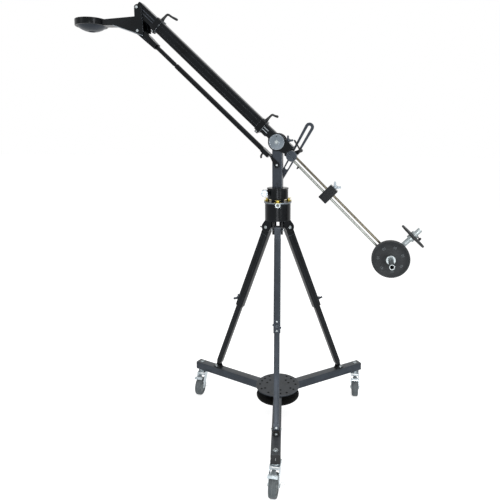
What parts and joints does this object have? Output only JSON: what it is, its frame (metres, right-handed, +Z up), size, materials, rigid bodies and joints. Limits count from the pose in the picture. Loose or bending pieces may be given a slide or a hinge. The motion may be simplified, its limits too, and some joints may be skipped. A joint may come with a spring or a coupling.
{
  "type": "camera jib crane",
  "caption": "Telescopic camera jib with a counterweighted tail and a levelling bowl, on a tripod standing on a wheeled three-arm dolly.",
  "frame": {"origin": "centre of the top face of the dolly's round hub plate, on the pan axis", "axes": "+Z up along the pan axis; +X in the boom's plane, from the post toward the counterweights; +Y to the far side as pictured"},
  "size_m": [1.8095, 0.9835, 2.1933],
  "materials": {
    "satin_black": "satin black anodised",
    "slate_anodised": "satin slate anodised",
    "hub_grey": "satin grey anodised",
    "disc_grey": "satin turned",
    "zinc_plate": "bright zinc plated",
    "grey_rubber": "matt",
    "brass": "turned",
    "polished_steel": "polished",
    "silver_knob": "bright",
    "cast_iron": "charcoal paint",
    "black_plastic": "satin"
  },
  "bodies": {
    "dolly": {"hub_plate_top": "hub_grey", "hub_plate_bottom": "satin_black", "dolly_arm_front": "slate_anodised", "dolly_arm_right": "slate_anodised", "dolly_arm_left": "slate_anodised", "foot_bracket_front": "satin_black", "foot_bracket_right": "satin_black", "foot_bracket_left": "satin_black"},
    "tripod_head": {"leg_housing": "satin_black", "pan_stage": "satin_black"},
    "leg_front": {"leg_outer_front": "slate_anodised"},
    "leg_slide_front": {"leg_inner_front": "satin_black"},
    "leg_clamp_front": {"leg_knob_front": "silver_knob"},
    "level_screw_front": {"level_nut_front": "brass"},
    "caster_front": {"caster_fork_front": "zinc_plate"},
    "wheel_front": {"caster_wheel_front": "grey_rubber"},
    "brake_front": {"caster_brake_front": "zinc_plate"},
    "leg_right": {"leg_outer_right": "slate_anodised"},
    "leg_slide_right": {"leg_inner_right": "satin_black"},
    "leg_clamp_right": {"leg_knob_right": "silver_knob"},
    "level_screw_right": {"level_nut_right": "brass"},
    "caster_right": {"caster_fork_right": "zinc_plate"},
    "wheel_right": {"caster_wheel_right": "grey_rubber"},
    "brake_right": {"caster_brake_right": "zinc_plate"},
    "leg_left": {"leg_outer_left": "slate_anodised"},
    "leg_slide_left": {"leg_inner_left": "satin_black"},
    "leg_clamp_left": {"leg_knob_left": "silver_knob"},
    "level_screw_left": {"level_nut_left": "brass"},
    "caster_left": {"caster_fork_left": "zinc_plate"},
    "wheel_left": {"caster_wheel_left": "grey_rubber"},
    "brake_left": {"caster_brake_left": "zinc_plate"},
    "pan_screw": {"pan_knob": "silver_knob"},
    "post": {"center_post": "slate_anodised", "fulcrum_axle": "zinc_plate"},
    "drag_disc": {"fulcrum_disc": "disc_grey"},
    "boom_rear": {"boom_rear_frame": "satin_black", "tail_block": "satin_black", "lock_clamp": "satin_black"},
    "boom_middle": {"boom_outer_tube": "satin_black"},
    "boom_front": {"boom_front_tube": "satin_black"},
    "camera_head": {"camera_bracket": "satin_black", "bowl_ring": "slate_anodised"},
    "rod_rear": {"control_rod_rear": "satin_black"},
    "rod_middle": {"control_rod_sleeve": "slate_anodised"},
    "rod_front": {"control_rod_front": "satin_black"},
    "rear_lever": {"rear_clamp_lever": "black_plastic"},
    "front_lever": {"front_clamp_lever": "black_plastic"},
    "rod_lever": {"rod_clamp_lever": "black_plastic"},
    "tail_screw": {"tail_knob": "silver_knob"},
    "lock_screw": {"lock_knob": "disc_grey"},
    "lock_handle": {"lock_lever": "black_plastic"},
    "lock_strut": {"lock_bar": "slate_anodised"},
    "weight_frame": {"counterweight_rod_upper": "polished_steel", "counterweight_rod_lower": "polished_steel", "weight_bar_block": "polished_steel"},
    "trim_weight": {"trim_block": "satin_black"},
    "trim_screw": {"trim_knob": "silver_knob"},
    "weight_large": {"large_plate": "cast_iron"},
    "weight_small": {"small_plate": "cast_iron"}
  },
  "joints": [
    {"name": "head_lift", "type": "slide", "parent": "dolly", "child": "tripod_head", "axis": [0, 0, 1], "range_m": [-0.08, 0.1]},
    {"name": "leg_swing_front", "type": "hinge", "parent": "tripod_head", "child": "leg_front", "pos_m": [0.0099, -0.05613, 0.865], "axis": [0.9848, 0.1736, 0], "range_deg": [-2.5, 3]},
    {"name": "leg_extend_front", "type": "slide", "parent": "leg_front", "child": "leg_slide_front", "axis": [0.0651, -0.3689, -0.9272], "range_m": [-0.08, 0.1]},
    {"name": "leg_knob_turn_front", "type": "hinge", "parent": "leg_front", "child": "leg_clamp_front", "pos_m": [0.0445, -0.25237, 0.4386], "axis": [0.161, -0.9131, 0.3746], "range_deg": [-150, 150]},
    {"name": "level_nut_turn_front", "type": "hinge", "parent": "tripod_head", "child": "level_screw_front", "pos_m": [0.01077, -0.06106, 1.002], "axis": [0, 0, 1], "range_deg": [-150, 150]},
    {"name": "caster_swivel_front", "type": "hinge", "parent": "dolly", "child": "caster_front", "pos_m": [0.09116, -0.51702, -0.0503], "axis": [0, 0, 1], "continuous": true},
    {"name": "wheel_spin_front", "type": "hinge", "parent": "caster_front", "child": "wheel_front", "pos_m": [0.09193, -0.56102, -0.1377], "axis": [0.9998, 0.0175, 0], "continuous": true},
    {"name": "brake_release_front", "type": "hinge", "parent": "caster_front", "child": "brake_front", "pos_m": [0.09172, -0.54902, -0.0703], "axis": [-0.9998, -0.0175, 0], "range_deg": [0, 12]},
    {"name": "leg_swing_right", "type": "hinge", "parent": "tripod_head", "child": "leg_right", "pos_m": [0.04367, 0.03664, 0.865], "axis": [-0.6428, 0.766, 0], "range_deg": [-2.5, 3]},
    {"name": "leg_extend_right", "type": "slide", "parent": "leg_right", "child": "leg_slide_right", "axis": [0.287, 0.2408, -0.9272], "range_m": [-0.08, 0.1]},
    {"name": "leg_knob_turn_right", "type": "hinge", "parent": "leg_right", "child": "leg_clamp_right", "pos_m": [0.19631, 0.16472, 0.4386], "axis": [0.7103, 0.596, 0.3746], "range_deg": [-150, 150]},
    {"name": "level_nut_turn_right", "type": "hinge", "parent": "tripod_head", "child": "level_screw_right", "pos_m": [0.0475, 0.03985, 1.002], "axis": [0, 0, 1], "range_deg": [-150, 150]},
    {"name": "caster_swivel_right", "type": "hinge", "parent": "dolly", "child": "caster_right", "pos_m": [0.40217, 0.33746, -0.0503], "axis": [0, 0, 1], "continuous": true},
    {"name": "wheel_spin_right", "type": "hinge", "parent": "caster_right", "child": "wheel_right", "pos_m": [0.40601, 0.29363, -0.1377], "axis": [0.9962, 0.0872, 0], "continuous": true},
    {"name": "brake_release_right", "type": "hinge", "parent": "caster_right", "child": "brake_right", "pos_m": [0.40496, 0.30558, -0.0703], "axis": [-0.9962, -0.0872, 0], "range_deg": [0, 12]},
    {"name": "leg_swing_left", "type": "hinge", "parent": "tripod_head", "child": "leg_left", "pos_m": [-0.05356, 0.01949, 0.865], "axis": [-0.342, -0.9397, 0], "range_deg": [-2.5, 3]},
    {"name": "leg_extend_left", "type": "slide", "parent": "leg_left", "child": "leg_slide_left", "axis": [-0.352, 0.1281, -0.9272], "range_m": [-0.08, 0.1]},
    {"name": "leg_knob_turn_left", "type": "hinge", "parent": "leg_left", "child": "leg_clamp_left", "pos_m": [-0.2408, 0.08765, 0.4386], "axis": [-0.8713, 0.3171, 0.3746], "range_deg": [-150, 150]},
    {"name": "level_nut_turn_left", "type": "hinge", "parent": "tripod_head", "child": "level_screw_left", "pos_m": [-0.05826, 0.02121, 1.002], "axis": [0, 0, 1], "range_deg": [-150, 150]},
    {"name": "caster_swivel_left", "type": "hinge", "parent": "dolly", "child": "caster_left", "pos_m": [-0.49334, 0.17956, -0.0503], "axis": [0, 0, 1], "continuous": true},
    {"name": "wheel_spin_left", "type": "hinge", "parent": "caster_left", "child": "wheel_left", "pos_m": [-0.49411, 0.13557, -0.1377], "axis": [0.9998, -0.0175, 0], "continuous": true},
    {"name": "brake_release_left", "type": "hinge", "parent": "caster_left", "child": "brake_left", "pos_m": [-0.4939, 0.14757, -0.0703], "axis": [-0.9998, 0.0175, 0], "range_deg": [0, 12]},
    {"name": "pan_knob_turn", "type": "hinge", "parent": "tripod_head", "child": "pan_screw", "pos_m": [-0.06577, -0.01278, 1.047], "axis": [0.1908, -0.9816, 0], "range_deg": [-150, 150]},
    {"name": "pan", "type": "hinge", "parent": "tripod_head", "child": "post", "pos_m": [0, 0, 1.016], "axis": [0, 0, 1], "continuous": true},
    {"name": "drag_disc_turn", "type": "hinge", "parent": "post", "child": "drag_disc", "pos_m": [0, 0, 1.303], "axis": [0, -1, 0], "range_deg": [-150, 150]},
    {"name": "boom_tilt", "type": "hinge", "parent": "post", "child": "boom_rear", "pos_m": [0, 0, 1.303], "axis": [0, 1, 0], "range_deg": [-83, 9]},
    {"name": "boom_slide_rear", "type": "slide", "parent": "boom_rear", "child": "boom_middle", "axis": [-0.7302, 0, 0.6833], "range_m": [0, 0.28]},
    {"name": "boom_slide_front", "type": "slide", "parent": "boom_middle", "child": "boom_front", "axis": [-0.7302, 0, 0.6833], "range_m": [0, 0.28]},
    {"name": "head_level", "type": "hinge", "parent": "boom_front", "child": "camera_head", "pos_m": [-0.72286, 0, 1.97944], "axis": [0, 1, 0], "range_deg": [-10, 84]},
    {"name": "control_rod_swing", "type": "hinge", "parent": "post", "child": "rod_rear", "pos_m": [0, 0, 1.188], "axis": [0, 1, 0], "range_deg": [-84, 10]},
    {"name": "control_rod_slide_rear", "type": "slide", "parent": "rod_rear", "child": "rod_middle", "axis": [-0.7302, 0, 0.6833], "range_m": [0, 0.28]},
    {"name": "control_rod_slide_front", "type": "slide", "parent": "rod_middle", "child": "rod_front", "axis": [-0.7302, 0, 0.6833], "range_m": [0, 0.28]},
    {"name": "rear_lever_turn", "type": "hinge", "parent": "boom_middle", "child": "rear_lever", "pos_m": [-0.05444, 0, 1.41386], "axis": [0.6833, 0, 0.7302], "range_deg": [-80, 80]},
    {"name": "front_lever_turn", "type": "hinge", "parent": "boom_middle", "child": "front_lever", "pos_m": [-0.59549, 0, 1.92017], "axis": [0.6833, 0, 0.7302], "range_deg": [-80, 80]},
    {"name": "rod_lever_turn", "type": "hinge", "parent": "rod_rear", "child": "rod_lever", "pos_m": [-0.07619, 0, 1.24855], "axis": [-0.6833, 0, -0.7302], "range_deg": [-60, 60]},
    {"name": "tail_knob_turn", "type": "hinge", "parent": "boom_rear", "child": "tail_screw", "pos_m": [0.05079, 0, 1.30751], "axis": [0.6833, 0, 0.7302], "range_deg": [-150, 150]},
    {"name": "lock_knob_turn", "type": "hinge", "parent": "boom_rear", "child": "lock_screw", "pos_m": [0.07448, 0, 1.23331], "axis": [0, -1, 0], "range_deg": [-150, 150]},
    {"name": "lock_lever_turn", "type": "hinge", "parent": "boom_rear", "child": "lock_handle", "pos_m": [0.11394, 0, 1.25938], "axis": [0, 1, 0], "range_deg": [0, 80]},
    {"name": "lock_bar_swing", "type": "hinge", "parent": "post", "child": "lock_strut", "pos_m": [-0.006, 0, 1.09], "axis": [0, 1, 0], "range_deg": [-10.2, 1.2]},
    {"name": "rods_pull_out", "type": "slide", "parent": "boom_rear", "child": "weight_frame", "axis": [0.7108, 0, -0.7034], "range_m": [0, 0.6]},
    {"name": "trim_slide", "type": "slide", "parent": "weight_frame", "child": "trim_weight", "axis": [0.7108, 0, -0.7034], "range_m": [-0.17, 0.38]},
    {"name": "trim_knob_turn", "type": "hinge", "parent": "trim_weight", "child": "trim_screw", "pos_m": [0.28782, 0, 1.07628], "axis": [0.7034, 0, 0.7108], "range_deg": [-150, 150]},
    {"name": "large_plate_slide", "type": "slide", "parent": "weight_frame", "child": "weight_large", "axis": [0, -1, 0], "range_m": [0, 0.17]},
    {"name": "small_plate_slide", "type": "slide", "parent": "weight_frame", "child": "weight_small", "axis": [0.7034, 0, 0.7108], "range_m": [0, 0.07]}
  ],
  "couplings": [
    {"joint": "leg_swing_front", "follows": "head_lift", "rad_per_m": 0.40564},
    {"joint": "leg_extend_front", "follows": "head_lift", "ratio": 0.92717},
    {"joint": "leg_swing_right", "follows": "head_lift", "rad_per_m": 0.40564},
    {"joint": "leg_extend_right", "follows": "head_lift", "ratio": 0.92717},
    {"joint": "leg_swing_left", "follows": "head_lift", "rad_per_m": 0.40564},
    {"joint": "leg_extend_left", "follows": "head_lift", "ratio": 0.92717},
    {"joint": "head_level", "follows": "boom_tilt", "ratio": -1},
    {"joint": "control_rod_swing", "follows": "boom_tilt", "ratio": 1},
    {"joint": "control_rod_slide_rear", "follows": "boom_slide_rear", "ratio": 1},
    {"joint": "control_rod_slide_front", "follows": "boom_slide_front", "ratio": 1},
    {"joint": "lock_bar_swing", "follows": "boom_tilt", "ratio": 0.12}
  ]
}
